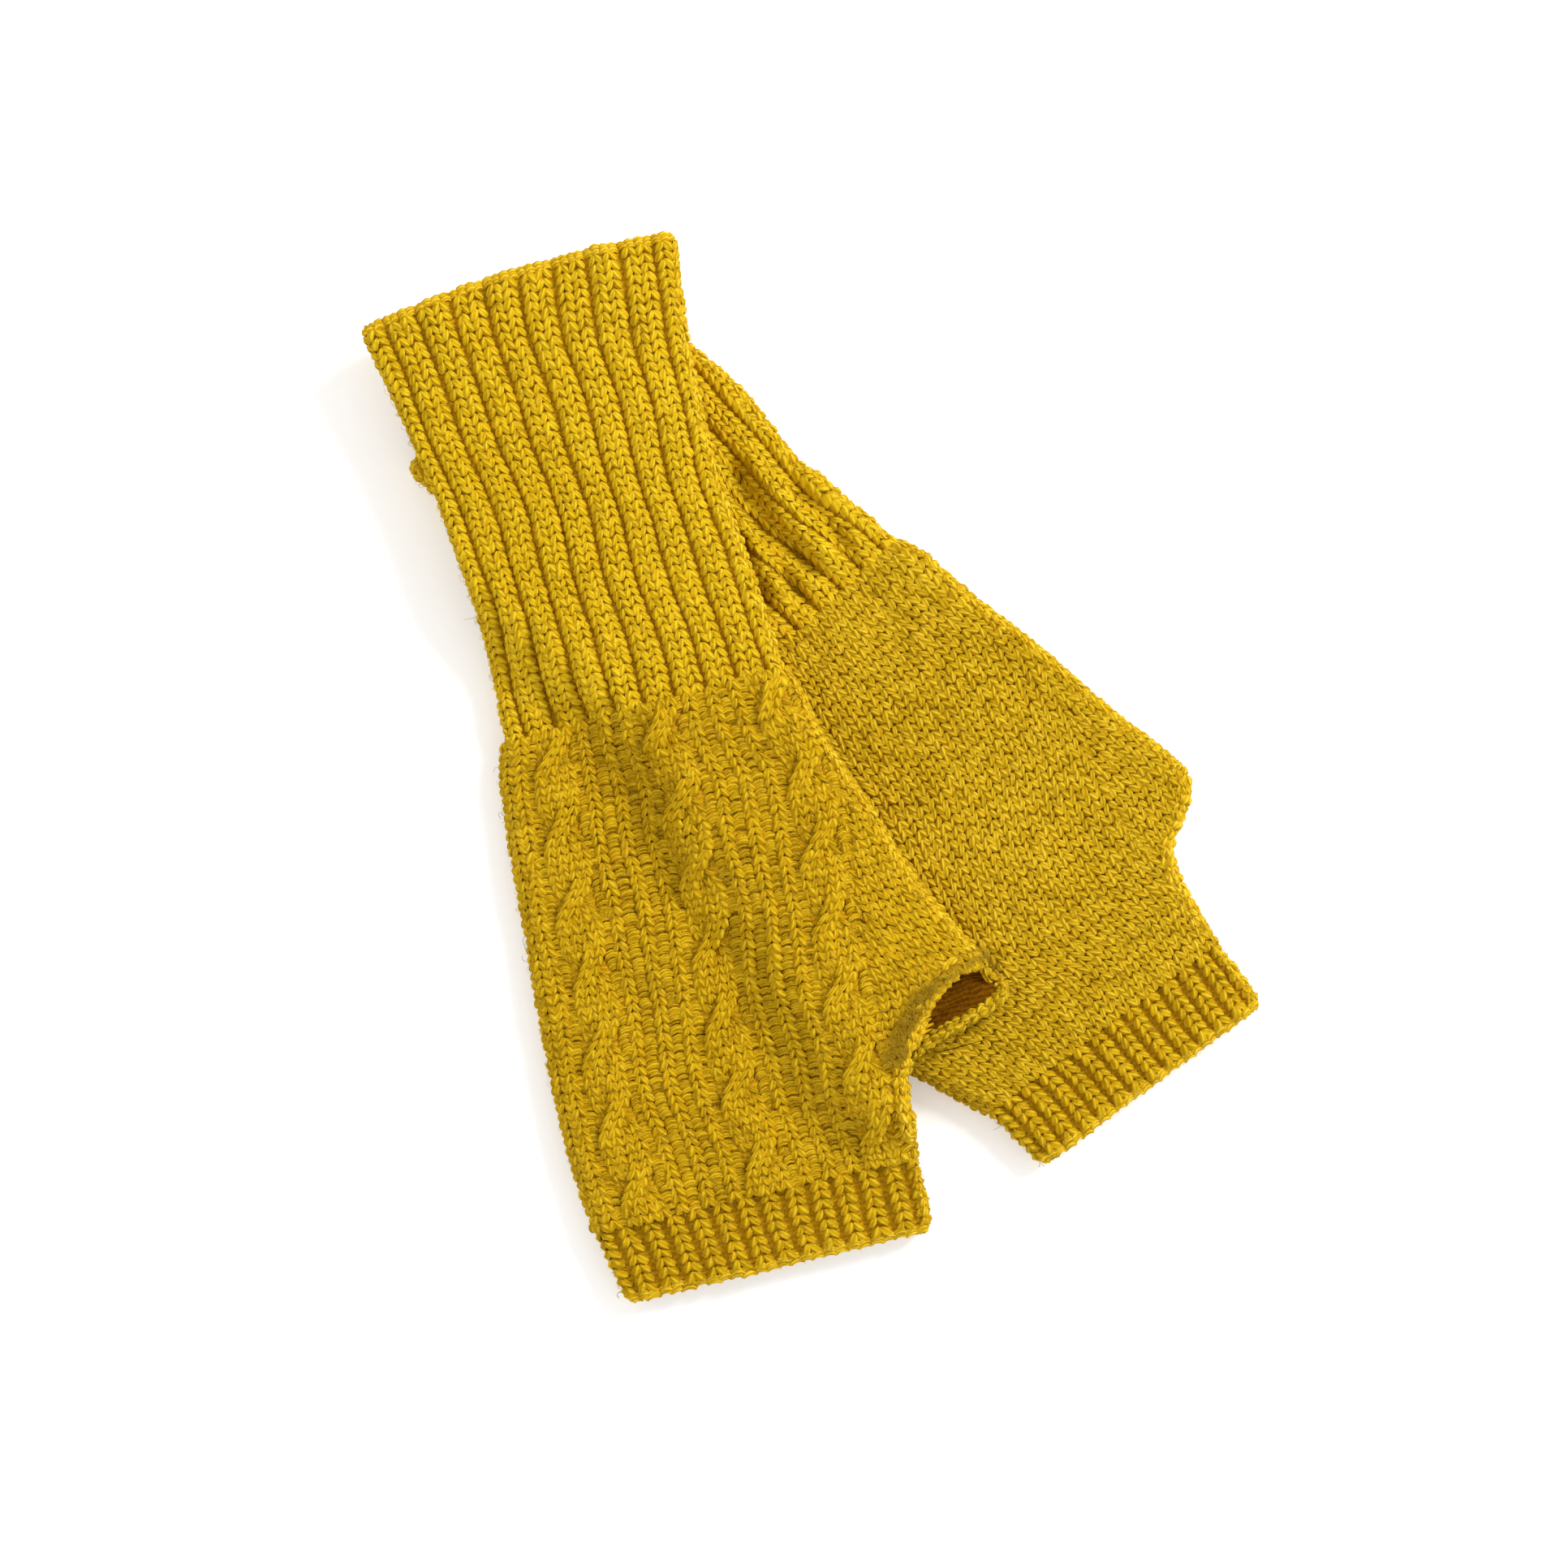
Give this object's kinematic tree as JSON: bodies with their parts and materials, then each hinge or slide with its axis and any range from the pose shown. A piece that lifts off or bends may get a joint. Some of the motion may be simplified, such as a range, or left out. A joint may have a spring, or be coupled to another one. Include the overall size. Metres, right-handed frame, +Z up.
{
  "type": "pair of fingerless gloves",
  "caption": "Pair of knitted fingerless gloves with cable backs, long rib cuffs and open thumb slits, laid one across the other.",
  "frame": {"origin": "on the table, under the middle of the pair as it lies", "axes": "+Z up from the table, +Y from the finger hems towards the cuffs, +X from the upper glove towards the under glove"},
  "size_m": [0.233, 0.2764, 0.024],
  "materials": {
    "rib_knit": "mustard wool yarn, matt",
    "cable_knit": "mustard wool yarn, matt",
    "plain_knit": "mustard wool yarn, matt",
    "hem_knit": "mustard wool yarn, matt",
    "edge_yarn": "mustard wool yarn, matt",
    "seam_yarn": "mustard wool yarn, matt"
  },
  "bodies": {
    "under_glove": {"under_cast_on_edge": "rib_knit", "under_cuff_back": "rib_knit", "under_cuff_palm": "rib_knit", "under_cuff_seam": "seam_yarn", "under_back_panel": "cable_knit", "under_palm_panel": "plain_knit", "under_hand_seam": "seam_yarn", "under_slit_edge_back": "edge_yarn", "under_slit_edge_palm": "edge_yarn"},
    "under_hem": {"under_hem_back": "hem_knit", "under_hem_palm": "hem_knit", "under_hem_seam": "seam_yarn", "under_bind_off_edge": "hem_knit"},
    "upper_hand": {"upper_back_panel": "cable_knit", "upper_palm_panel": "plain_knit", "upper_hand_seam": "seam_yarn", "upper_slit_edge_back": "edge_yarn", "upper_slit_edge_palm": "edge_yarn"},
    "upper_cuff": {"upper_cast_on_edge": "rib_knit", "upper_cuff_back": "rib_knit", "upper_cuff_palm": "rib_knit", "upper_cuff_seam": "seam_yarn"},
    "upper_hem": {"upper_hem_back": "hem_knit", "upper_hem_palm": "hem_knit", "upper_hem_seam": "seam_yarn", "upper_bind_off_edge": "hem_knit"}
  },
  "joints": [
    {"name": "upper_glove_lift", "type": "slide", "parent": "under_glove", "child": "upper_hand", "axis": [0, 0, 1], "range_m": [0, 0.08]},
    {"name": "upper_cuff_fold", "type": "hinge", "parent": "upper_hand", "child": "upper_cuff", "pos_m": [-0.04435, 0.01769, 0.0211], "axis": [0.9659, 0.2588, 0], "range_deg": [0, 100]},
    {"name": "upper_hem_fold", "type": "hinge", "parent": "upper_hand", "child": "upper_hem", "pos_m": [-0.01363, -0.10903, 0.011], "axis": [-0.9724, -0.2334, 0], "range_deg": [0, 100]},
    {"name": "under_hem_fold", "type": "hinge", "parent": "under_glove", "child": "under_hem", "pos_m": [0.07598, -0.06533, 0.0101], "axis": [-0.8039, -0.5948, 0], "range_deg": [0, 100]}
  ]
}
